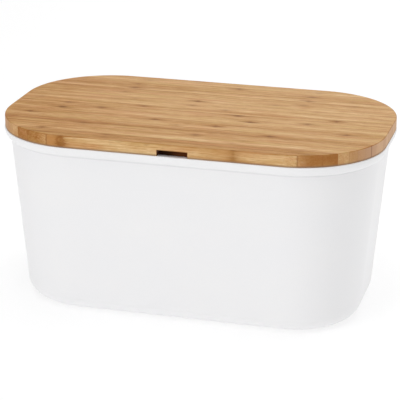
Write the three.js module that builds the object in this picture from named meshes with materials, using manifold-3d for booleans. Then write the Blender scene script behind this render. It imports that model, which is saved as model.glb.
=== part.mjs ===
// Bread bin: a tapered tub moulded in one piece, and a loose lid board that rests on its rim.
// The lid is glued up from narrow bamboo staves. A rebate round its underside leaves a panel
// that drops inside the tub and keeps the lid in place, and a notch in its front edge lets the
// bin breathe and gives a fingertip somewhere to lift.
//
// Millimetres. +Z is up, the front faces -Y, and the origin is the middle of the base.
import * as THREE from "three";
import { mergeVertices } from "three/addons/utils/BufferGeometryUtils.js";
import Module from "manifold-3d";

// ---- Driving dimensions ------------------------------------------------------------------

const BIN_HEIGHT = 170; // from the worktop to the top of the lid

// Lid board
const LID_LENGTH = 345;
const LID_WIDTH = 203;
const LID_CORNER_RADIUS = 78;
const LID_EDGE_HEIGHT = 11; // what shows above the rim
const LID_EDGE_ROUNDING = 0.8;
const PANEL_DEPTH = 5; // how far the panel reaches down inside the tub
const PANEL_CLEARANCE = 1.3; // between the panel and the mouth of the tub
const PANEL_CHAMFER = 1;

// Staves, counted from the front of the lid
const STAVE_WIDTH = 7.2;
const FRONT_STAVE_WIDTH = 1.7; // the blank's first stave, mostly cut away with the outline
const GLUE_LINE = 0.1;

// Notch in the front edge of the lid, open at the underside
const NOTCH_WIDTH = 27;
const NOTCH_HEIGHT = 5.4;
const NOTCH_DEPTH = 14;
const NOTCH_OFF_CENTRE = 2.5;
const NOTCH_INNER_RADIUS = 2;

// Tub: its sizes across are drawn in from the lid's outline, and a negative one stands out from it
const WALL = 2.8;
const FLOOR_THICKNESS = 3.6;
const DRAFT = THREE.MathUtils.degToRad(5.15); // how far the walls lean in towards the base
const WALL_INSET = 5; // outside of the wall where it meets the rim
const RIM_OUTSET = 0.5;
const RIM_DEPTH = 8.9; // from the top of the rim to where it meets the wall
const RIM_BAND = 2.2; // the upright part of the rim; below it the rim curves in to the wall
const RIM_KNEE = { inset: 0.9, depth: 8.5 }; // the corner that this curve rounds off
const RIM_EDGE_RADIUS = 1;
const MOUTH_EDGE_RADIUS = 2.2;
const BASE_RADIUS = 16;
const FLOOR_RADIUS = 13;
const FOOT_WIDTH = 6; // the flat ring that the tub stands on
const BASE_RECESS = 1; // the base inside that ring is lifted clear

// Facets
const CORNER_STEPS = 14; // for each quarter of an outline
const FILLET_STEPS = 5;
const EDGE_STEPS = 2;

// ---- Derived sizes -----------------------------------------------------------------------

const RIM_TOP = BIN_HEIGHT - LID_EDGE_HEIGHT;
const wallInset = (z) => WALL_INSET + (RIM_TOP - RIM_DEPTH - z) * Math.tan(DRAFT);
const boreInset = (z) => wallInset(z) + WALL;
const MOUTH_INSET = boreInset(RIM_TOP);
const PANEL_INSET = MOUTH_INSET + PANEL_CLEARANCE;

// ---- Outlines and sections ---------------------------------------------------------------

// The lid's plan outline drawn in by `inset`, as a ring of points at height `z`.
function planRing({ inset, z }) {
  const radius = LID_CORNER_RADIUS - inset;
  const centreX = LID_LENGTH / 2 - LID_CORNER_RADIUS;
  const centreY = LID_WIDTH / 2 - LID_CORNER_RADIUS;
  const corners = [[1, 1], [-1, 1], [-1, -1], [1, -1]];
  const ring = [];
  corners.forEach(([signX, signY], quarter) => {
    for (let step = 0; step <= CORNER_STEPS; step++) {
      const angle = (quarter + step / CORNER_STEPS) * (Math.PI / 2);
      ring.push(new THREE.Vector3(
        signX * centreX + radius * Math.cos(angle),
        signY * centreY + radius * Math.sin(angle),
        z,
      ));
    }
  });
  return ring;
}

// Points of a section along an arc; angles in degrees, 180 facing out of the object and 270 down.
function sectionArc(inset, z, radius, from, to, steps) {
  const points = [];
  for (let step = 0; step <= steps; step++) {
    const angle = THREE.MathUtils.degToRad(from + ((to - from) * step) / steps);
    points.push({ inset: inset + radius * Math.cos(angle), z: z + radius * Math.sin(angle) });
  }
  return points;
}

// A closed body through one ring per section point, with a flat cap on the first and the last.
function loft(section) {
  const rings = section.map(planRing);
  const count = rings[0].length;
  const positions = rings.flat().flatMap((point) => point.toArray());
  const faces = [];
  for (let ring = 0; ring + 1 < rings.length; ring++) {
    for (let i = 0; i < count; i++) {
      const next = (i + 1) % count;
      const [a, b] = [ring * count + i, ring * count + next];
      const [c, d] = [a + count, b + count];
      faces.push(a, b, d, a, d, c);
    }
  }
  const last = (rings.length - 1) * count;
  for (let i = 1; i + 1 < count; i++) {
    faces.push(0, i + 1, i);
    faces.push(last, last + i, last + i + 1);
  }
  const geometry = new THREE.BufferGeometry();
  geometry.setAttribute("position", new THREE.Float32BufferAttribute(positions, 3));
  geometry.setIndex(faces);
  geometry.computeVertexNormals();
  return geometry;
}

// ---- Booleans ----------------------------------------------------------------------------

const wasm = await Module();
wasm.setup();

function toSolid(geometry) {
  const bare = geometry.clone();
  bare.deleteAttribute("normal");
  bare.deleteAttribute("uv");
  const merged = mergeVertices(bare, 1e-4);
  return new wasm.Manifold(new wasm.Mesh({
    numProp: 3,
    vertProperties: merged.attributes.position.array,
    triVerts: new Uint32Array(merged.index.array),
  }));
}

function toGeometry(solid) {
  const mesh = solid.getMesh();
  const geometry = new THREE.BufferGeometry();
  geometry.setAttribute("position", new THREE.Float32BufferAttribute(mesh.vertProperties, 3));
  geometry.setIndex(Array.from(mesh.triVerts));
  geometry.computeVertexNormals();
  return geometry;
}

// ---- Tub ---------------------------------------------------------------------------------

// The section starts under the middle of the base, runs out and up the outside, over the rim,
// and down the inside to the floor.
function tubSection() {
  const lean = THREE.MathUtils.radToDeg(DRAFT);
  const filletCentre = (insetAt, z, radius) => insetAt(z) + radius / Math.cos(DRAFT);

  const baseCentre = filletCentre(wallInset, BASE_RADIUS, BASE_RADIUS);
  const footInner = baseCentre + FOOT_WIDTH;
  const underside = [
    { inset: footInner + BASE_RECESS, z: BASE_RECESS },
    { inset: footInner, z: 0 },
  ];
  const baseFillet = sectionArc(baseCentre, BASE_RADIUS, BASE_RADIUS, 270, 180 + lean, FILLET_STEPS);

  const rimUnderside = new THREE.QuadraticBezierCurve(
    new THREE.Vector2(WALL_INSET, RIM_TOP - RIM_DEPTH),
    new THREE.Vector2(RIM_KNEE.inset, RIM_TOP - RIM_KNEE.depth),
    new THREE.Vector2(-RIM_OUTSET, RIM_TOP - RIM_BAND),
  ).getPoints(FILLET_STEPS).map((point) => ({ inset: point.x, z: point.y }));
  const rimEdge = sectionArc(
    RIM_EDGE_RADIUS - RIM_OUTSET, RIM_TOP - RIM_EDGE_RADIUS, RIM_EDGE_RADIUS, 180, 90, EDGE_STEPS);
  const mouthEdge = sectionArc(
    MOUTH_INSET - MOUTH_EDGE_RADIUS, RIM_TOP - MOUTH_EDGE_RADIUS, MOUTH_EDGE_RADIUS, 90, 0, EDGE_STEPS);

  const filletTop = FLOOR_THICKNESS + FLOOR_RADIUS;
  const floorCentre = filletCentre(boreInset, filletTop, FLOOR_RADIUS);
  const floorFillet = sectionArc(floorCentre, filletTop, FLOOR_RADIUS, 180 + lean, 270, FILLET_STEPS);

  return [...underside, ...baseFillet, ...rimUnderside, ...rimEdge, ...mouthEdge, ...floorFillet];
}

function makeTub() {
  const white = new THREE.MeshStandardMaterial({ color: 0xf1f1f2, roughness: 0.42, metalness: 0 });
  const tub = new THREE.Mesh(loft(tubSection()), white);
  tub.name = "tub";
  return tub;
}

// ---- Lid ---------------------------------------------------------------------------------

// The finished board: the full outline above the rim, and the panel below it.
function boardSolid() {
  const rounding = LID_EDGE_ROUNDING;
  const edge = loft([
    ...sectionArc(rounding, RIM_TOP + rounding, rounding, 270, 180, EDGE_STEPS),
    ...sectionArc(rounding, BIN_HEIGHT - rounding, rounding, 180, 90, EDGE_STEPS),
  ]);
  const panelFoot = RIM_TOP - PANEL_DEPTH;
  const panel = loft([
    { inset: PANEL_INSET + PANEL_CHAMFER, z: panelFoot },
    { inset: PANEL_INSET, z: panelFoot + PANEL_CHAMFER },
    { inset: PANEL_INSET, z: RIM_TOP + LID_EDGE_HEIGHT / 2 },
  ]);
  return toSolid(edge).add(toSolid(panel)).subtract(notchSolid());
}

// A slot with rounded inner corners, cut up into the underside from the front edge.
function notchSolid() {
  const half = NOTCH_WIDTH / 2;
  const overrun = 5;
  const back = NOTCH_DEPTH;
  const plan = new THREE.Shape();
  plan.moveTo(-half, -overrun);
  plan.lineTo(half, -overrun);
  plan.lineTo(half, back - NOTCH_INNER_RADIUS);
  plan.absarc(half - NOTCH_INNER_RADIUS, back - NOTCH_INNER_RADIUS, NOTCH_INNER_RADIUS, 0, Math.PI / 2);
  plan.lineTo(NOTCH_INNER_RADIUS - half, back);
  plan.absarc(NOTCH_INNER_RADIUS - half, back - NOTCH_INNER_RADIUS, NOTCH_INNER_RADIUS, Math.PI / 2, Math.PI);
  const slot = new THREE.ExtrudeGeometry(plan, {
    depth: PANEL_DEPTH + overrun + NOTCH_HEIGHT,
    bevelEnabled: false,
    curveSegments: FILLET_STEPS,
  });
  slot.translate(NOTCH_OFF_CENTRE, -LID_WIDTH / 2, RIM_TOP - PANEL_DEPTH - overrun);
  return toSolid(slot);
}

// The planes between staves from the front of the lid to the back, with one clear of the board
// at either end, because the board's outline trims the outermost staves.
function staveJoints() {
  const joints = [-LID_WIDTH];
  for (let y = FRONT_STAVE_WIDTH - LID_WIDTH / 2; y < LID_WIDTH / 2; y += STAVE_WIDTH) joints.push(y);
  joints.push(LID_WIDTH);
  return joints;
}

function makeLid() {
  const lid = new THREE.Group();
  const board = boardSolid();
  const joints = staveJoints();
  for (let i = 0; i + 1 < joints.length; i++) {
    const front = joints[i] + GLUE_LINE / 2;
    const back = joints[i + 1] - GLUE_LINE / 2;
    const slab = new THREE.BoxGeometry(2 * LID_LENGTH, back - front, 2 * BIN_HEIGHT);
    slab.translate(0, (front + back) / 2, BIN_HEIGHT);
    const warmth = (i * 5) % 7; // neighbouring staves come from different culms
    const bamboo = new THREE.MeshStandardMaterial({ roughness: 0.55, metalness: 0 });
    bamboo.color.setHSL(0.088, 0.45, 0.56 + 0.015 * warmth);
    const stave = new THREE.Mesh(toGeometry(board.intersect(toSolid(slab))), bamboo);
    stave.name = `lid_stave_${String(i + 1).padStart(2, "0")}`;
    lid.add(stave);
  }
  return lid;
}

// ---- Assembly ----------------------------------------------------------------------------

const breadBin = new THREE.Group();
breadBin.add(makeTub(), makeLid());

export default breadBin;
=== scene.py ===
"""Looks of the bread bin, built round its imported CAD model. Metres, +Z up, the front faces -Y.

The tub is a white moulding with a satin skin. The lid is a board of side-pressed bamboo: each
stave is a piece of its own, cut from one finely rounded board, so that neighbours meet exactly.
"""

import math
import random
from types import SimpleNamespace

import bmesh
import bpy
from mathutils import Matrix, Vector


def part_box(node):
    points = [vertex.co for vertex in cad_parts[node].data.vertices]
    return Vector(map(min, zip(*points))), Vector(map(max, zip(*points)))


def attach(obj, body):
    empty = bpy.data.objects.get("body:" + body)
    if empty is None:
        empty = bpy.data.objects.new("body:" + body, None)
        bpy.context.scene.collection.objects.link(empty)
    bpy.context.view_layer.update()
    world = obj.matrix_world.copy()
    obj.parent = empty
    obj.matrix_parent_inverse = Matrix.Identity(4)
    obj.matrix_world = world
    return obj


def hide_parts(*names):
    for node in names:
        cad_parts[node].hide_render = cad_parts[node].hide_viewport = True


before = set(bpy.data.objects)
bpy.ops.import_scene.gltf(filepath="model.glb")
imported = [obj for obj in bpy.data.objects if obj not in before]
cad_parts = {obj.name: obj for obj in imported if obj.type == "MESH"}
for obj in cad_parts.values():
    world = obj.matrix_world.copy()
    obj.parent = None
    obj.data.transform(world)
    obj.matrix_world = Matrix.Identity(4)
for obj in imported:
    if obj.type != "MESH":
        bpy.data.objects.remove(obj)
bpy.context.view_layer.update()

MM = 0.001
STAVE_NODES = sorted(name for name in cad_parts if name.startswith("lid_stave_"))

# ---- Sizes -------------------------------------------------------------------------------
# What the frame's boxes hold is read from them. The rest repeats the CAD model's dimensions.

TUB_LOW, TUB_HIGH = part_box("tub")
STAVE_BOXES = [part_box(name) for name in STAVE_NODES]
LID_TOP = max(high.z for low, high in STAVE_BOXES)
PANEL_FOOT = min(low.z for low, high in STAVE_BOXES)
LID_HALF_LENGTH = max(high.x for low, high in STAVE_BOXES)
LID_HALF_WIDTH = max(high.y for low, high in STAVE_BOXES)
RIM_TOP = TUB_HIGH.z
RIM_OUTSET = TUB_HIGH.x - LID_HALF_LENGTH

LID_CORNER_RADIUS = 78 * MM
LID_EDGE_ROUNDING = 0.9 * MM
PANEL_CLEARANCE = 1.3 * MM
PANEL_CHAMFER = 1 * MM
STAVE_WIDTH = 7.2 * MM
FRONT_STAVE_WIDTH = 1.7 * MM

NOTCH_WIDTH = 27 * MM
NOTCH_HEIGHT = 5.4 * MM
NOTCH_DEPTH = 14 * MM
NOTCH_OFF_CENTRE = 2.5 * MM
NOTCH_INNER_RADIUS = 2 * MM
NOTCH_ARRIS = 0.35 * MM

WALL = 2.8 * MM
WALL_INSET = 5 * MM
WALL_LEAN = math.tan(math.radians(5.15))
RIM_DEPTH = 8.9 * MM
RIM_BAND = 2.2 * MM
RIM_KNEE_INSET = 0.9 * MM
RIM_KNEE_DEPTH = 8.5 * MM
RIM_EDGE_RADIUS = 1 * MM
RIM_FOOT_FILLET = 0.7 * MM
MOUTH_EDGE_RADIUS = 2.2 * MM
FLOOR_THICKNESS = 3.6 * MM
FLOOR_RADIUS = 13 * MM
BASE_RADIUS = 16 * MM
FOOT_WIDTH = 6 * MM
BASE_RECESS = 1 * MM

CORNER_STEPS = 36  # mesh steps in each quarter of an outline
ARC_STEPS = 10
EDGE_STEPS = 5


def wall_inset(z):
    """How far the outside of the tub's wall lies inside the lid's outline at a height."""
    return WALL_INSET + (RIM_TOP - RIM_DEPTH - z) * WALL_LEAN


def bore_inset(z):
    return wall_inset(z) + WALL


# ---- Mesh helpers ------------------------------------------------------------------------


def plan_ring(inset, z):
    """The lid's plan outline drawn in by inset, as points at height z, anticlockwise from +X."""
    radius = LID_CORNER_RADIUS - inset
    centre_x = LID_HALF_LENGTH - LID_CORNER_RADIUS
    centre_y = LID_HALF_WIDTH - LID_CORNER_RADIUS
    ring = []
    for quarter, (sign_x, sign_y) in enumerate(((1, 1), (-1, 1), (-1, -1), (1, -1))):
        for step in range(CORNER_STEPS + 1):
            angle = (quarter + step / CORNER_STEPS) * math.pi / 2
            x = sign_x * centre_x + radius * math.cos(angle)
            y = sign_y * centre_y + radius * math.sin(angle)
            ring.append(Vector((x, y, z)))
    return ring


def arc(inset, z, radius, start, end, steps=ARC_STEPS, tall=None):
    """Section points (inset, z) on an arc. Angles in degrees: 180 faces out and 270 down."""
    points = []
    for step in range(steps + 1):
        angle = math.radians(start + (end - start) * step / steps)
        points.append((inset + radius * math.cos(angle), z + (tall or radius) * math.sin(angle)))
    return points


def blend(start, corner, end, steps=ARC_STEPS):
    """Section points on a quadratic curve from start to end that heads for corner."""
    handles = (start, corner, end)
    points = []
    for step in range(steps + 1):
        t = step / steps
        weights = ((1 - t) ** 2, 2 * t * (1 - t), t * t)
        points.append(tuple(sum(w * p[k] for w, p in zip(weights, handles)) for k in (0, 1)))
    return points


def loft(section):
    """A closed bmesh with one ring for each section point and flat caps on the first and last."""
    solid = bmesh.new()
    rings = [[solid.verts.new(point) for point in plan_ring(inset, z)] for inset, z in section]
    for lower, upper in zip(rings, rings[1:]):
        for i, vertex in enumerate(lower):
            j = (i + 1) % len(lower)
            solid.faces.new((vertex, lower[j], upper[j], upper[i]))
    solid.faces.new(reversed(rings[0]))
    solid.faces.new(rings[-1])
    return solid


def prism(outline, direction, length):
    """A closed bmesh: a flat outline of points pushed along direction."""
    solid = bmesh.new()
    near = [solid.verts.new(point) for point in outline]
    far = [solid.verts.new(Vector(point) + Vector(direction) * length) for point in outline]
    for i, vertex in enumerate(near):
        j = (i + 1) % len(near)
        solid.faces.new((vertex, near[j], far[j], far[i]))
    solid.faces.new(reversed(near))
    solid.faces.new(far)
    bmesh.ops.recalc_face_normals(solid, faces=solid.faces)
    return solid


def finished_object(name, solid, material, crease_degrees=32):
    """An object with smooth shading that keeps its creases, and flat faces that look flat.

    Edges that are already marked sharp stay so.
    """
    for face in solid.faces:
        face.smooth = True
    for edge in solid.edges:
        if edge.calc_face_angle(0) > math.radians(crease_degrees):
            edge.smooth = False
    mesh = bpy.data.meshes.new(name)
    solid.to_mesh(mesh)
    solid.free()
    mesh.materials.append(material)
    piece = bpy.data.objects.new(name, mesh)
    bpy.context.scene.collection.objects.link(piece)
    shading = piece.modifiers.new("flat_faces_stay_flat", "WEIGHTED_NORMAL")
    shading.keep_sharp = True
    shading.weight = 100
    return piece


# ---- Node helpers ------------------------------------------------------------------------

NOISE_RANGE = (0.3, 0.7)  # what a noise node mostly gives


def srgb(red, green, blue):
    """A colour given as on screen, 0 to 255, as the linear values that shaders take."""
    return tuple((c / 255) ** 2.2 for c in (red, green, blue)) + (1.0,)


class Graph:
    """A material's node tree, with one short method for each kind of step."""

    def __init__(self, name):
        self.material = bpy.data.materials.new(name)
        self.material.use_nodes = True
        self.nodes = self.material.node_tree.nodes
        self.shader = self.nodes["Principled BSDF"]

    def link(self, source, socket):
        self.material.node_tree.links.new(source, socket)

    def add(self, kind, inputs, **settings):
        """A node with its settings, and with inputs that are sockets to link or plain values."""
        node = self.nodes.new(kind)
        for name, value in settings.items():
            setattr(node, name, value)
        for key, value in inputs.items():
            if isinstance(value, bpy.types.NodeSocket):
                self.link(value, node.inputs[key])
            else:
                node.inputs[key].default_value = value
        return node

    def math(self, operation, *values, clamp=False):
        inputs = dict(enumerate(values))
        return self.add("ShaderNodeMath", inputs, operation=operation, use_clamp=clamp).outputs[0]

    def plus(self, *values, clamp=False):
        """The sum of any number of values, held between 0 and 1 if clamp is set."""
        *others, last = values
        total = others[0]
        for value in others[1:]:
            total = self.math("ADD", total, value)
        return self.math("ADD", total, last, clamp=clamp)

    def times(self, *values):
        """The product of any number of values."""
        product = values[0]
        for value in values[1:]:
            product = self.math("MULTIPLY", product, value)
        return product

    def minus(self, first, second):
        return self.math("SUBTRACT", first, second)

    def absolute(self, value):
        """A value without its sign."""
        return self.math("ABSOLUTE", value)

    def step(self, value, low, high, to_low=0.0, to_high=1.0):
        """Smoothly from to_low to to_high as value goes from low to high."""
        inputs = {"Value": value, 1: low, 2: high, 3: to_low, 4: to_high}
        node = self.add("ShaderNodeMapRange", inputs, interpolation_type="SMOOTHSTEP")
        return node.outputs[0]

    def spread(self, noise, to_low, to_high):
        """A noise's usual range as a range of another quantity."""
        return self.step(noise, *NOISE_RANGE, to_low, to_high)

    def noise(self, place, grain, detail=2, roughness=0.55):
        """Noise whose grains have a size along each axis, in the units of place."""
        inputs = {0: place, 1: tuple(1 / size for size in grain)}
        scaled = self.add("ShaderNodeVectorMath", inputs, operation="MULTIPLY").outputs[0]
        inputs = {"Vector": scaled, "Scale": 1.0, "Detail": detail, "Roughness": roughness}
        return self.add("ShaderNodeTexNoise", inputs).outputs["Fac"]

    def attribute(self, name):
        return self.add("ShaderNodeAttribute", {}, attribute_name=name).outputs["Fac"]

    def mix(self, factor, first, second):
        node = self.nodes.new("ShaderNodeMix")
        node.data_type = "RGBA"
        # The node also has inputs for plain numbers and vectors. These are its colour ones.
        sockets = (node.inputs[0], node.inputs[6], node.inputs[7])
        for socket, value in zip(sockets, (factor, first, second)):
            if isinstance(value, bpy.types.NodeSocket):
                self.link(value, socket)
            else:
                socket.default_value = value
        return node.outputs[2]

    def ramp(self, value, stops):
        node = self.add("ShaderNodeValToRGB", {"Fac": value})
        band = node.color_ramp
        while len(band.elements) < len(stops):
            band.elements.new(0.5)
        for element, (place, colour) in zip(band.elements, stops):
            element.position = place
            element.color = colour
        return node.outputs["Color"]

    def bump(self, height, strength, distance, normal=None):
        inputs = {"Height": height, "Strength": strength, "Distance": distance}
        if normal is not None:
            inputs["Normal"] = normal
        return self.add("ShaderNodeBump", inputs).outputs[0]


# ---- Tub ---------------------------------------------------------------------------------

FLOW_GRAIN = (70 * MM, 70 * MM, 45 * MM)
SPECKLE_GRAIN = (1.2 * MM, 1.2 * MM, 1.2 * MM)
SCUFF_GRAIN = (9 * MM, 9 * MM, 1.4 * MM)
SKIN_GRAIN = (0.6 * MM, 0.6 * MM, 0.6 * MM)
FOOT_WEAR_HEIGHT = 0.7 * MM
CREASE_SHADE_REACH = 1.7 * MM  # painted shade, from the crease under the rim, up and down


def tub_plastic():
    """White melamine with a satin skin: nearly even, with slight flow marks and fine scuffs."""
    graph = Graph("tub_plastic")
    place = graph.add("ShaderNodeTexCoord", {}).outputs["Object"]
    height = graph.add("ShaderNodeSeparateXYZ", {0: place}).outputs["Z"]
    flow = graph.noise(place, FLOW_GRAIN)
    speckle = graph.noise(place, SPECKLE_GRAIN)
    scuffs = graph.noise(place, SCUFF_GRAIN, detail=4, roughness=0.7)

    white = graph.mix(flow, srgb(240, 240, 242), srgb(244, 243, 243))
    white = graph.mix(graph.step(speckle, 0.35, 0.75, 0, 0.25), white, srgb(236, 237, 239))
    foot_wear = graph.step(height, FOOT_WEAR_HEIGHT, 0.1 * MM)
    rubbed = graph.times(foot_wear, graph.step(scuffs, 0.45, 0.65))
    white = graph.mix(graph.times(rubbed, 0.5), white, srgb(205, 204, 200))
    # Painted shade: a faint grey line in the crease under the rim, where the overhang shades the
    # wall.
    from_crease = graph.absolute(graph.minus(height, RIM_TOP - RIM_DEPTH))
    crease_shade = graph.step(from_crease, CREASE_SHADE_REACH, 0.3 * MM, 0, 0.42)
    white = graph.mix(crease_shade, white, srgb(214, 214, 216))
    graph.link(white, graph.shader.inputs["Base Color"])

    flow_gloss = graph.spread(flow, 0.33, 0.39)
    scuff_gloss = graph.step(scuffs, 0.55, 0.8, 0, 0.06)
    gloss = graph.plus(flow_gloss, scuff_gloss, graph.times(rubbed, 0.25))
    graph.link(gloss, graph.shader.inputs["Roughness"])

    waves = graph.bump(flow, 0.25, 0.4 * MM)
    skin = graph.bump(graph.noise(place, SKIN_GRAIN), 0.12, 0.05 * MM, waves)
    graph.link(skin, graph.shader.inputs["Normal"])
    graph.shader.inputs["IOR"].default_value = 1.5
    return graph.material


def tub_section():
    """From under the middle of the base, out and up the outside, over the rim and down inside."""
    lean = math.degrees(math.atan(WALL_LEAN))
    secant = math.hypot(1, WALL_LEAN)
    base_centre = wall_inset(BASE_RADIUS) + BASE_RADIUS * secant
    foot_inner = base_centre + FOOT_WIDTH
    recess_edge = 0.3 * MM
    underside = blend(
        (foot_inner + BASE_RECESS + recess_edge, BASE_RECESS),
        (foot_inner + BASE_RECESS / 2, BASE_RECESS / 2),
        (foot_inner, 0),
        steps=4,
    )
    base = arc(base_centre, BASE_RADIUS, BASE_RADIUS, 270, 180 + lean, steps=14)

    rim_foot = RIM_TOP - RIM_DEPTH
    knee = (RIM_KNEE_INSET, RIM_TOP - RIM_KNEE_DEPTH)
    belly = blend((WALL_INSET, rim_foot), knee, (-RIM_OUTSET, RIM_TOP - RIM_BAND), steps=16)
    crease_foot = rim_foot - RIM_FOOT_FILLET
    crease = blend((wall_inset(crease_foot), crease_foot), belly[0], belly[1], steps=5)
    rim_centre = (RIM_EDGE_RADIUS - RIM_OUTSET, RIM_TOP - RIM_EDGE_RADIUS)
    rim_edge = arc(*rim_centre, RIM_EDGE_RADIUS, 180, 90, EDGE_STEPS)

    mouth_centre = bore_inset(RIM_TOP) - MOUTH_EDGE_RADIUS
    mouth = arc(mouth_centre, RIM_TOP - MOUTH_EDGE_RADIUS, MOUTH_EDGE_RADIUS, 90, 0)
    fillet_top = FLOOR_THICKNESS + FLOOR_RADIUS
    floor_centre = bore_inset(fillet_top) + FLOOR_RADIUS * secant
    floor = arc(floor_centre, fillet_top, FLOOR_RADIUS, 180 + lean, 270, steps=12)
    return underside + base + crease[:-1] + belly[1:] + rim_edge + mouth + floor


def make_tub():
    tub = finished_object("tub_shell", loft(tub_section()), tub_plastic(), crease_degrees=38)
    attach(tub, "tub")
    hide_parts("tub")


# ---- Lid ---------------------------------------------------------------------------------

# How pale the staves are, from 0 to 1: a little deeper at the front of the lid than at the back,
# and varied from one to the next. The front edge is one pale face, and two dark staves and a pale
# one follow it round the corners.
FRONT_SHADE = 0.4
BACK_SHADE = 0.54
SHADE_SPREAD = 0.13
FRONT_EDGE_SHADES = {1: 0.5, 2: 0.27, 3: 0.27, 4: 0.6}

# Each stave's knuckles: the places of two neighbours in mm along X, and how strongly each shows,
# from 0 to 9. Knuckles stand about 170 mm apart on a culm.
KNUCKLES = (
    (-97, 56, 8, 6), (118, -60, 2, 2), (-60, 110, 4, 2), (-121, 50, 7, 2), (58, -110, 4, 2),
    (14, 185, 5, 1), (-90, 92, 5, 1), (76, -96, 9, 1), (-10, 165, 4, 1), (24, -148, 9, 9),
    (-33, 139, 7, 7), (-20, 150, 1, 1), (-125, 50, 9, 9), (-90, 100, 6, 6), (35, -125, 8, 6),
    (-55, 123, 6, 9), (20, -155, 4, 2), (-13, 160, 4, 1), (-70, 100, 2, 1), (-12, 165, 9, 1),
    (60, -110, 2, 1), (-86, 84, 4, 3), (130, -40, 2, 1), (86, -81, 6, 6), (-40, 125, 2, 2),
    (-82, 86, 5, 5), (15, -150, 6, 2), (90, -75, 2, 2), (-30, 130, 3, 2),
)  # fmt: skip
STRONGEST = 9
SAW_TOLERANCE = 1e-8

# Grain sizes in mm along X, Y and Z. The fibres run the length of the lid.
CLOUD_GRAIN = (70, 4, 8)
BAND_GRAIN = (130, 1.3, 1.5)
STREAK_GRAIN = (60, 0.4, 0.5)
FIBRE_GRAIN = (60, 0.16, 0.2)
FLECK_GRAIN = (12, 1.2, 1.2)
BUNDLE_GRAIN = (8, 0.28, 0.34)
HUE_GRAIN = (55, 6, 6)
SEED_STRIDE = 611  # how many times further along X than across a stave's seed shifts its pattern

# The wood's colour, from its densest fibre to its sparsest.
WOOD_COLOURS = (
    (0.0, srgb(148, 92, 36)),
    (0.3, srgb(181, 130, 72)),
    (0.55, srgb(200, 154, 100)),
    (0.8, srgb(216, 176, 124)),
    (1.0, srgb(230, 197, 149)),
)
ROSY = srgb(198, 138, 92)
OLIVE = srgb(192, 156, 90)
BUNDLE = srgb(138, 88, 46)
KNUCKLE_HALO = srgb(180, 122, 64)
KNUCKLE = srgb(147, 97, 42)
KNUCKLE_CORE = srgb(118, 72, 30)
SCAR = srgb(146, 88, 40)
GLUE = srgb(140, 90, 46)
END_GRAIN = srgb(168, 106, 52)
DEEP_END_GRAIN = srgb(158, 102, 52)
# A painted pale sheen on the squarely cut ends.
PAINTED_END_SHEEN = srgb(222, 190, 164)
SKIN = srgb(116, 66, 32)
# Painted shadow in the gap between the lid's edge and the rim.
PAINTED_GAP_SHADOW = srgb(138, 116, 94)
# Painted shade inside the notch, deepest at its left.
NOTCH_SHADE_DARKEST = srgb(66, 20, 8)
NOTCH_SHADE_PALEST = srgb(162, 86, 42)
ARRIS_BROWN = srgb(150, 104, 64)

# Sizes in mm on the wood's faces.
KNUCKLE_REACH = 19
HALO_REACH = 24
BLUSH_REACH = 50  # how far the flat face is deeper in colour on one side of a knuckle
SCAR_HALF_LENGTH = 3.3
SCAR_HALF_HEIGHT = 4.2
GLUE_HALF_WIDTH = 0.2
GAP_SHADOW_HEIGHT = 0.8  # the middle of the painted shadow line above the rim
GAP_SHADOW_REACH = 1.3
NOTCH_SHADE_EDGE = 0.3


def wood_places(graph):
    """What the layers of the bamboo share: places in mm, facings, patterns and stave facts."""
    coordinates = graph.add("ShaderNodeTexCoord", {})
    inputs = {0: coordinates.outputs["Object"], 1: (1 / MM, 1 / MM, 1 / MM)}
    place = graph.add("ShaderNodeVectorMath", inputs, operation="MULTIPLY").outputs[0]
    x, y, z = graph.add("ShaderNodeSeparateXYZ", {0: place}).outputs
    facing = graph.add("ShaderNodeSeparateXYZ", {0: coordinates.outputs["Normal"]}).outputs
    endways, sideways, upward = (graph.absolute(axis) for axis in facing)

    # Every stave takes its own part of each pattern.
    seed = graph.attribute("seed")
    inputs = {0: graph.times(seed, SEED_STRIDE), 1: seed, 2: seed}
    shift = graph.add("ShaderNodeCombineXYZ", inputs).outputs[0]
    own_place = graph.add("ShaderNodeVectorMath", {0: place, 1: shift}, operation="ADD").outputs[0]
    clouds = graph.noise(own_place, CLOUD_GRAIN, detail=3)

    # Across a stave, from 0 at its front to 1 at its back, and from there how sparse the fibre is.
    from_joint = graph.minus(y, (FRONT_STAVE_WIDTH - LID_HALF_WIDTH) / MM)
    across = graph.math("FRACT", graph.math("DIVIDE", from_joint, STAVE_WIDTH / MM))
    from_middle = graph.minus(across, 0.5)
    grade = graph.attribute("grade")
    wavering = graph.plus(from_middle, graph.spread(clouds, -0.1, 0.1))
    return SimpleNamespace(
        x=x,
        y=y,
        z=z,
        endways=endways,
        upward=upward,
        end_grain=graph.step(endways, 0.12, 0.8),
        flat_side=graph.step(sideways, 0.93, 0.985),
        own_place=own_place,
        clouds=clouds,
        streaks=graph.noise(own_place, STREAK_GRAIN, detail=3),
        from_joint=from_joint,
        across=across,
        shade=graph.attribute("shade"),
        pith_side=graph.times(from_middle, grade),
        sparse=graph.times(wavering, grade),
    )


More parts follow.
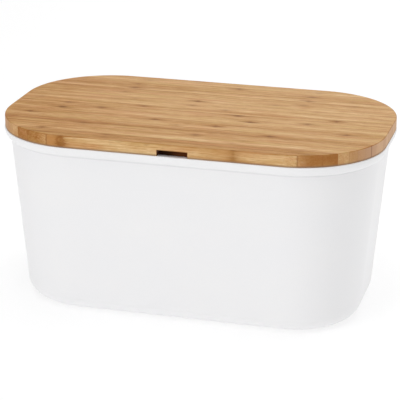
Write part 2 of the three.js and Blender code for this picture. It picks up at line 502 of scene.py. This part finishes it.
def wood_tone(graph, wood):
    """How pale the wood is, from 0 to 1."""
    bands = graph.step(graph.noise(wood.own_place, BAND_GRAIN), 0.32, 0.68)
    fibres = graph.noise(wood.own_place, FIBRE_GRAIN, detail=1)
    flecks = graph.noise(wood.own_place, FLECK_GRAIN, detail=3)
    # The patterns are fainter on the ends, where the fibres are cut across.
    pith_share = graph.step(wood.end_grain, 0, 1, 0.2, -0.08)
    band_share = graph.step(wood.end_grain, 0, 1, 0.2, 0.07)
    fleck_share = graph.step(wood.end_grain, 0, 1, 0.36, 0.1)
    return graph.plus(
        wood.shade,
        graph.times(wood.sparse, 0.33),
        graph.times(graph.step(wood.pith_side, 0.32, 0.44), pith_share),
        graph.spread(wood.clouds, -0.09, 0.09),
        graph.times(graph.minus(bands, 0.5), band_share),
        graph.spread(wood.streaks, 0.14, -0.14),
        graph.spread(fibres, 0.155, -0.115),
        graph.times(graph.minus(0.5, flecks), fleck_share, 2.5),
        # A little darker left, paler right: partly the wood, partly painted shade and light.
        graph.step(wood.x, -172, 0, -0.13, 0.01),
        graph.step(wood.x, 0, 150, 0, 0.04),
        # Staves differ more on their ends. Paler left ends and flat sides are painted light.
        graph.times(graph.minus(wood.shade, 0.52), wood.end_grain, 0.9),
        graph.times(graph.step(wood.x, -60, -150, 0, 0.26), wood.end_grain),
        graph.times(wood.flat_side, 0.26),
        clamp=True,
    )


def with_knuckles(graph, wood, colour):
    """A smudge of disturbed fibre on the sawn faces, and a ring and a bud's scar on flat ones."""
    along = graph.minus(wood.x, graph.attribute("knuckle_at"))
    spacing = graph.attribute("knuckle_spacing")
    half_spacing = graph.times(spacing, 0.5)
    from_knuckle = graph.math("PINGPONG", along, half_spacing)
    is_other = graph.math("GREATER_THAN", graph.absolute(along), half_spacing)
    near, other = graph.attribute("knuckle"), graph.attribute("next_knuckle")
    strength = graph.plus(near, graph.times(is_other, graph.minus(other, near)))
    fine_teeth = graph.times(graph.minus(wood.streaks, 0.5), 20)
    ragged = graph.plus(fine_teeth, graph.times(graph.minus(wood.clouds, 0.5), 12))
    off_knuckle = graph.plus(from_knuckle, ragged)
    off_centre = graph.absolute(graph.minus(wood.across, graph.attribute("knuckle_side")))

    halo = graph.times(graph.step(off_knuckle, HALO_REACH, 2, 0, 0.3), strength)
    past_knuckle = graph.minus(along, graph.times(is_other, spacing))
    one_side = graph.times(
        graph.step(past_knuckle, -BLUSH_REACH, -4), graph.step(past_knuckle, 5, -1)
    )
    blush = graph.times(one_side, wood.flat_side, strength, strength)
    colour = graph.mix(graph.math("MAXIMUM", halo, blush), colour, KNUCKLE_HALO)

    reach = graph.math("DIVIDE", off_knuckle, KNUCKLE_REACH)
    reach = graph.plus(reach, graph.times(off_centre, 1.6))
    smudge = graph.times(graph.step(reach, 0.95, 0.1), strength)
    ring = graph.times(graph.step(off_knuckle, 3.6, 0.8, 0, 0.9), wood.flat_side, strength)
    colour = graph.mix(graph.math("MAXIMUM", smudge, ring), colour, KNUCKLE)
    core = graph.times(
        graph.step(off_knuckle, 2.2, 0.9),
        graph.step(off_centre, 0.5, 0.3, 0, 0.6),
        graph.step(wood.flat_side, 0, 1, 1, 0.25),
        strength,
    )
    colour = graph.mix(core, colour, KNUCKLE_CORE)

    # A bud's scar is an oval line on the flat face, at the first of a stave's two knuckles.
    scar_x = graph.plus(along, graph.times(ragged, 0.45))
    scar_x = graph.math("DIVIDE", scar_x, SCAR_HALF_LENGTH)
    scar_z = graph.minus(wood.z, (RIM_TOP + LID_TOP) / MM / 2)
    scar_z = graph.math("DIVIDE", scar_z, SCAR_HALF_HEIGHT)
    oval = graph.plus(graph.times(scar_x, scar_x), graph.times(scar_z, scar_z))
    off_oval = graph.absolute(graph.minus(graph.math("SQRT", oval), 1))
    scar = graph.times(graph.step(off_oval, 0.42, 0.06, 0, 0.7), wood.flat_side, strength)
    return graph.mix(scar, colour, SCAR)


def with_ends(graph, wood, colour):
    """The deeper colour of fibres cut across, and a painted sheen where they are cut squarely."""
    colour = graph.mix(graph.times(wood.end_grain, 0.3), colour, END_GRAIN)
    cut_across = graph.step(wood.endways, 0.14, 0.3)
    # The deep colour is weaker towards the left end: painted light on the lit end.
    toward_left = graph.step(wood.x, -60, -150, 1, 0.45)
    dark_stave = graph.step(wood.shade, 0.56, 0.3, 0, 0.55)
    deep = graph.times(dark_stave, cut_across, toward_left)
    colour = graph.mix(deep, colour, DEEP_END_GRAIN)
    # Painted sheen: the ends are pale and grey where they face squarely out.
    end_sheen = graph.step(wood.endways, 0.66, 0.96, 0, 0.5)
    colour = graph.mix(end_sheen, colour, PAINTED_END_SHEEN)
    skin_line = graph.times(graph.step(wood.pith_side, -0.32, -0.42, 0, 0.7), wood.end_grain)
    return graph.mix(skin_line, colour, SKIN)


def with_painted_shade_and_arrises(graph, wood, colour):
    """A painted shadow line along the rim, painted shade in the notch, and darker arrises."""
    # Painted shadow: a dark line low on the lid's edge, in the gap above the rim.
    from_line = graph.absolute(graph.minus(wood.z, RIM_TOP / MM + GAP_SHADOW_HEIGHT))
    line = graph.step(from_line, GAP_SHADOW_REACH, 0.3, 0, 0.6)
    colour = graph.mix(graph.times(line, graph.step(wood.upward, 0.9, 0.6)), colour, PAINTED_GAP_SHADOW)

    # Painted shade in the notch: darkest at its left, browner to its right.
    off_notch = graph.absolute(graph.minus(wood.x, NOTCH_OFF_CENTRE / MM))
    half_notch = NOTCH_WIDTH / MM / 2
    notch_top = (RIM_TOP + NOTCH_HEIGHT) / MM
    lid_front = -LID_HALF_WIDTH / MM
    notch_back = lid_front + NOTCH_DEPTH / MM
    in_notch = graph.times(
        graph.step(off_notch, half_notch + NOTCH_SHADE_EDGE, half_notch),
        graph.step(wood.z, notch_top + NOTCH_SHADE_EDGE, notch_top),
        graph.step(wood.y, notch_back + NOTCH_SHADE_EDGE, notch_back),
        graph.step(wood.y, lid_front, lid_front + 1.2, 0, 0.85),
    )
    notch_shade = graph.mix(graph.step(wood.x, -8, 12), NOTCH_SHADE_DARKEST, NOTCH_SHADE_PALEST)
    colour = graph.mix(in_notch, colour, notch_shade)

    # The rounded arrises are a little darker.
    arris = graph.times(
        graph.step(wood.upward, 0.1, 0.4), graph.step(wood.upward, 0.995, 0.85), 0.25
    )
    return graph.mix(arris, colour, ARRIS_BROWN)


def bamboo():
    """Side-pressed bamboo: long fibres, denser towards each stave's skin side, and knuckles."""
    graph = Graph("lid_bamboo")
    wood = wood_places(graph)
    colour = graph.ramp(wood_tone(graph, wood), WOOD_COLOURS)
    hue = graph.noise(wood.own_place, HUE_GRAIN)
    colour = graph.mix(graph.step(hue, 0.5, 0.7, 0, 0.4), colour, ROSY)
    colour = graph.mix(graph.step(hue, 0.5, 0.3, 0, 0.4), colour, OLIVE)

    # Fibre bundles: short dark dashes along the stave, which are dots on its ends.
    bundles = graph.step(graph.noise(wood.own_place, BUNDLE_GRAIN), 0.55, 0.72)
    bundles = graph.times(bundles, graph.step(wood.sparse, 0.25, -0.4, 0.15, 0.6))
    colour = graph.mix(bundles, colour, BUNDLE)
    colour = with_knuckles(graph, wood, colour)

    to_joint = graph.math("PINGPONG", wood.from_joint, STAVE_WIDTH / MM / 2)
    glue = graph.step(to_joint, GLUE_HALF_WIDTH, 0.07, 0, 0.6)
    colour = graph.mix(glue, colour, GLUE)
    colour = with_ends(graph, wood, colour)
    colour = with_painted_shade_and_arrises(graph, wood, colour)
    graph.link(colour, graph.shader.inputs["Base Color"])

    sheen = graph.spread(wood.streaks, 0.52, 0.68)
    sheen = graph.plus(sheen, graph.times(wood.end_grain, 0.15), clamp=True)
    graph.link(sheen, graph.shader.inputs["Roughness"])
    relief = graph.minus(graph.times(wood.streaks, 0.6), graph.times(bundles, 0.8))
    relief = graph.minus(relief, glue)
    graph.link(graph.bump(relief, 0.35, 0.12 * MM), graph.shader.inputs["Normal"])
    graph.shader.inputs["IOR"].default_value = 1.45
    graph.shader.inputs["Specular IOR Level"].default_value = 0.22
    return graph.material


def board_section():
    """From under the middle of the panel, out over the rebate and the lip, and up to the top."""
    rounding = LID_EDGE_ROUNDING
    panel_inset = bore_inset(RIM_TOP) + PANEL_CLEARANCE
    panel = [(panel_inset + PANEL_CHAMFER, PANEL_FOOT), (panel_inset, PANEL_FOOT + PANEL_CHAMFER)]
    rebate = [(panel_inset, RIM_TOP)]
    lower_edge = arc(rounding, RIM_TOP + rounding, rounding, 270, 180, EDGE_STEPS)
    upper_edge = arc(rounding, LID_TOP - rounding, rounding, 180, 90, EDGE_STEPS)
    return panel + rebate + lower_edge + upper_edge


def notch_cutters():
    """The slot from the front edge to inside the tub, and a flare that eases its front arris."""
    half = NOTCH_WIDTH / 2
    overrun = 5 * MM
    outline = [(-half, -overrun), (half, -overrun)]
    for side, start in ((1, 0), (-1, 90)):
        centre = (side * (half - NOTCH_INNER_RADIUS), NOTCH_DEPTH - NOTCH_INNER_RADIUS)
        for step in range(ARC_STEPS + 1):
            angle = math.radians(start + 90 * step / ARC_STEPS)
            x = centre[0] + NOTCH_INNER_RADIUS * math.cos(angle)
            y = centre[1] + NOTCH_INNER_RADIUS * math.sin(angle)
            outline.append((x, y))
    foot = PANEL_FOOT - overrun
    placed = [(x + NOTCH_OFF_CENTRE, y - LID_HALF_WIDTH, foot) for x, y in outline]
    slot = prism(placed, (0, 0, 1), RIM_TOP + NOTCH_HEIGHT - foot)

    flare = bmesh.new()
    front, back = -LID_HALF_WIDTH - NOTCH_ARRIS, -LID_HALF_WIDTH + NOTCH_ARRIS
    rings = []
    for y, proud in ((front, 2 * NOTCH_ARRIS), (back, 0)):
        sides = (NOTCH_OFF_CENTRE - half - proud, NOTCH_OFF_CENTRE + half + proud)
        top = RIM_TOP + NOTCH_HEIGHT + proud
        corners = ((sides[0], foot), (sides[1], foot), (sides[1], top), (sides[0], top))
        rings.append([flare.verts.new((x, y, z)) for x, z in corners])
    for i in range(4):
        j = (i + 1) % 4
        flare.faces.new((rings[0][i], rings[0][j], rings[1][j], rings[1][i]))
    flare.faces.new(reversed(rings[0]))
    flare.faces.new(rings[1])
    bmesh.ops.recalc_face_normals(flare, faces=flare.faces)
    return slot, flare


def scratch_object(solid):
    """A short-lived object for the boolean modifier."""
    mesh = bpy.data.meshes.new("scratch")
    solid.to_mesh(mesh)
    solid.free()
    thing = bpy.data.objects.new("scratch", mesh)
    bpy.context.scene.collection.objects.link(thing)
    return thing


def cut_board():
    """The finished board as one bmesh, with the notch cut out of it."""
    board = scratch_object(loft(board_section()))
    cutters = [scratch_object(cutter) for cutter in notch_cutters()]
    for cutter in cutters:
        cut = board.modifiers.new("cut", "BOOLEAN")
        cut.operation = "DIFFERENCE"
        cut.solver = "EXACT"
        cut.object = cutter
    bpy.context.view_layer.update()
    shaped = board.evaluated_get(bpy.context.evaluated_depsgraph_get())
    solid = bmesh.new()
    solid.from_mesh(shaped.to_mesh())
    shaped.to_mesh_clear()
    for thing in (board, *cutters):
        mesh = thing.data
        bpy.data.objects.remove(thing)
        bpy.data.meshes.remove(mesh)
    return solid


def stave_solid(board, front, back):
    """The slice of the board between two upright planes, closed where it was sawn."""
    stave = board.copy()
    for y, outward in ((front, -1), (back, 1)):
        if abs(y) >= LID_HALF_WIDTH:
            continue
        everything = stave.verts[:] + stave.edges[:] + stave.faces[:]
        sawn = bmesh.ops.bisect_plane(
            stave,
            geom=everything,
            plane_co=(0, y, 0),
            plane_no=(0, outward, 0),
            clear_outer=True,
            dist=SAW_TOLERANCE,
        )
        edges = [edge for edge in sawn["geom_cut"] if isinstance(edge, bmesh.types.BMEdge)]
        bmesh.ops.edgeloop_fill(stave, edges=edges)
        for edge in edges:
            edge.smooth = False
    bmesh.ops.recalc_face_normals(stave, faces=stave.faces)
    return stave


def set_facts(piece, facts):
    """Values that the bamboo material reads, the same on every point of a stave."""
    for name, value in facts.items():
        attribute = piece.data.attributes.new(name, "FLOAT", "POINT")
        attribute.data.foreach_set("value", [value] * len(piece.data.vertices))


def stave_facts(number, chance, growth):
    """The facts of a stave, counted from 1 at the front of the lid."""
    shade = FRONT_SHADE + (BACK_SHADE - FRONT_SHADE) * number / len(STAVE_NODES)
    shade += growth.uniform(-SHADE_SPREAD, SHADE_SPREAD)
    knuckle_at, next_at, knuckle, next_knuckle = KNUCKLES[number - 1]
    return {
        "seed": chance.uniform(0, 40),
        "shade": FRONT_EDGE_SHADES.get(number, shade),
        # How much paler the back is than the front, because staves are glued in either way
        # round and bamboo is denser and darker on its skin side.
        "grade": growth.uniform(-1, 1),
        "knuckle_at": knuckle_at,
        "knuckle_spacing": abs(next_at - knuckle_at),
        "knuckle_side": 0.5 + chance.uniform(-0.2, 0.2),
        "knuckle": knuckle / STRONGEST,
        "next_knuckle": next_knuckle / STRONGEST,
    }


def make_lid():
    wood = bamboo()
    board = cut_board()
    chance = random.Random(11)
    growth = random.Random(4)
    front = -LID_HALF_WIDTH
    for number, node in enumerate(STAVE_NODES, start=1):
        back = FRONT_STAVE_WIDTH - LID_HALF_WIDTH + (number - 1) * STAVE_WIDTH
        solid = stave_solid(board, front, back)
        stave = finished_object(f"bamboo_stave_{number:02d}", solid, wood)
        set_facts(stave, stave_facts(number, chance, growth))
        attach(stave, "lid")
        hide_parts(node)
        front = back
    board.free()


# ---- Studio ------------------------------------------------------------------------------

CAMERA_AZIMUTH = math.radians(15.26)  # round from the front, towards +X
CAMERA_ELEVATION = math.radians(19.37)
CAMERA_ROLL = math.radians(0.24)
CAMERA_DISTANCE = 1.5875
LENS = 156.46
SENSOR = 36
SHIFT_X = -0.0007
SHIFT_Y = 0.0041

FLOOR_HALF_SIZE = 6.0
FLOOR_DROP = 0.02 * MM  # below the foot, so that the two faces don't flicker
FLOOR_GLOW = 0.5
ROOM_LIGHT = 0.35
WHITE = (1, 1, 1, 1)
BIN_MIDDLE = Vector((0, 0, 0.09))


def make_camera():
    azimuth, elevation = CAMERA_AZIMUTH, CAMERA_ELEVATION
    level = Vector((math.sin(azimuth), -math.cos(azimuth), 0))
    back = level * math.cos(elevation) + Vector((0, 0, math.sin(elevation)))
    right = Vector((0, 0, 1)).cross(back).normalized()
    up = back.cross(right)
    rolled_right = right * math.cos(CAMERA_ROLL) + up * math.sin(CAMERA_ROLL)
    rolled_up = up * math.cos(CAMERA_ROLL) - right * math.sin(CAMERA_ROLL)
    eye = Vector((0, 0, LID_TOP / 2)) + back * CAMERA_DISTANCE

    camera = bpy.data.objects.new("camera", bpy.data.cameras.new("camera"))
    bpy.context.scene.collection.objects.link(camera)
    turn = Matrix((rolled_right, rolled_up, back)).transposed()
    camera.matrix_world = Matrix.Translation(eye) @ turn.to_4x4()
    camera.data.sensor_width = SENSOR
    camera.data.lens = LENS
    camera.data.shift_x = SHIFT_X
    camera.data.shift_y = SHIFT_Y
    camera.data.clip_end = 50
    bpy.context.scene.camera = camera


def make_floor():
    half = FLOOR_HALF_SIZE
    floor = bmesh.new()
    corners = ((-half, -half), (half, -half), (half, half), (-half, half))
    floor.faces.new([floor.verts.new((x, y, -FLOOR_DROP)) for x, y in corners])
    graph = Graph("pale_floor")
    place = graph.add("ShaderNodeTexCoord", {}).outputs["Object"]
    mottle = graph.noise(place, (0.4, 0.4, 0.4))
    grey = graph.mix(mottle, srgb(193, 193, 193), srgb(196, 196, 196))
    graph.link(grey, graph.shader.inputs["Base Color"])
    graph.shader.inputs["Roughness"].default_value = 0.9
    graph.shader.inputs["Specular IOR Level"].default_value = 0.1
    graph.shader.inputs["Emission Color"].default_value = WHITE
    graph.shader.inputs["Emission Strength"].default_value = FLOOR_GLOW
    mesh = bpy.data.meshes.new("floor")
    floor.to_mesh(mesh)
    floor.free()
    mesh.materials.append(graph.material)
    plane = bpy.data.objects.new("floor", mesh)
    bpy.context.scene.collection.objects.link(plane)


def make_softbox(name, place, size, power):
    """A lamp that faces the bin. Its size is width and height in metres, its power in watts."""
    lamp = bpy.data.lights.new(name, "AREA")
    lamp.shape = "RECTANGLE"
    lamp.size, lamp.size_y = size
    lamp.energy = power
    holder = bpy.data.objects.new(name, lamp)
    bpy.context.scene.collection.objects.link(holder)
    holder.location = place
    holder.rotation_mode = "QUATERNION"
    holder.rotation_quaternion = (BIN_MIDDLE - Vector(place)).to_track_quat("-Z", "Y")


def make_light():
    world = bpy.data.worlds.new("white_room")
    world.use_nodes = True
    background = world.node_tree.nodes["Background"]
    background.inputs["Color"].default_value = WHITE
    background.inputs["Strength"].default_value = ROOM_LIGHT
    bpy.context.scene.world = world
    make_softbox("front_left", (-1.6, -2.4, 1.3), (1.8, 1.6), 17.8)
    make_softbox("front_right", (1.4, -2.6, 1.3), (1.8, 1.6), 8.8)
    make_softbox("overhead_front", (0.0, -1.2, 2.4), (2.4, 1.4), 13.5)
    make_softbox("overhead", (0.0, 0.3, 2.4), (2.4, 2.0), 19.8)
    make_softbox("back_right", (2.0, 1.6, 1.0), (1.4, 1.2), 12.2)
    make_softbox("back_low", (0.0, 2.6, 0.8), (2.4, 1.0), 13.5)
    bpy.context.scene.view_settings.view_transform = "Standard"


make_camera()
make_tub()
make_lid()
make_floor()
make_light()
